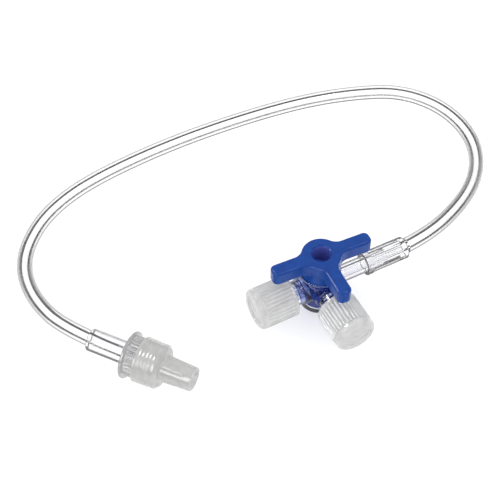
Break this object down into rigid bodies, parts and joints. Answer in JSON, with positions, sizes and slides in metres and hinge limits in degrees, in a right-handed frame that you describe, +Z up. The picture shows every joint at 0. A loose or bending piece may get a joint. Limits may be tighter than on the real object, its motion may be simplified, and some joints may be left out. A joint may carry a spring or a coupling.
{
  "type": "three way stopcock with extension tube",
  "caption": "Three way stopcock with a turning tap, capped female luer ports, and a clear extension tube ending in a capped male luer lock connector.",
  "frame": {"origin": "on the tap's axis, at the underside of the stopcock's foot", "axes": "+Z up along the tap's axis; +X along the outlet towards the tube; the side port points along -Y and the inline port along -X"},
  "size_m": [0.1347, 0.0854, 0.0181],
  "materials": {
    "clear_polycarbonate": "water clear moulding, polished mould",
    "blue_polyethylene": "deep blue moulding, satin gloss",
    "frosted_polypropylene": "natural translucent moulding, fine fluted grip",
    "clear_soft_pvc": "clear extruded flexible tube"
  },
  "bodies": {
    "valve": {"stopcock_body": "clear_polycarbonate", "tube_adapter": "clear_polycarbonate", "extension_tube": "clear_soft_pvc", "male_luer_connector": "clear_polycarbonate"},
    "tap": {"tap_handle": "blue_polyethylene"},
    "inline_cap": {"inline_port_cap": "frosted_polypropylene"},
    "side_cap": {"side_port_cap": "frosted_polypropylene"},
    "collar": {"lock_collar": "clear_polycarbonate"},
    "end_cap": {"luer_cap": "frosted_polypropylene"}
  },
  "joints": [
    {"name": "tap_turn", "type": "hinge", "parent": "valve", "child": "tap", "pos_m": [0, 0, 0.0062], "axis": [0, 0, 1], "continuous": true},
    {"name": "inline_cap_pull", "type": "slide", "parent": "valve", "child": "inline_cap", "axis": [-1, 0, 0], "range_m": [0, 0.02]},
    {"name": "side_cap_pull", "type": "slide", "parent": "valve", "child": "side_cap", "axis": [0, -1, 0], "range_m": [0, 0.02]},
    {"name": "collar_spin", "type": "hinge", "parent": "valve", "child": "collar", "pos_m": [-0.0578, 0.011, 0.006], "axis": [0.6143, -0.7891, 0], "continuous": true},
    {"name": "end_cap_pull", "type": "slide", "parent": "collar", "child": "end_cap", "axis": [0.6143, -0.7891, 0], "range_m": [0, 0.02]}
  ]
}
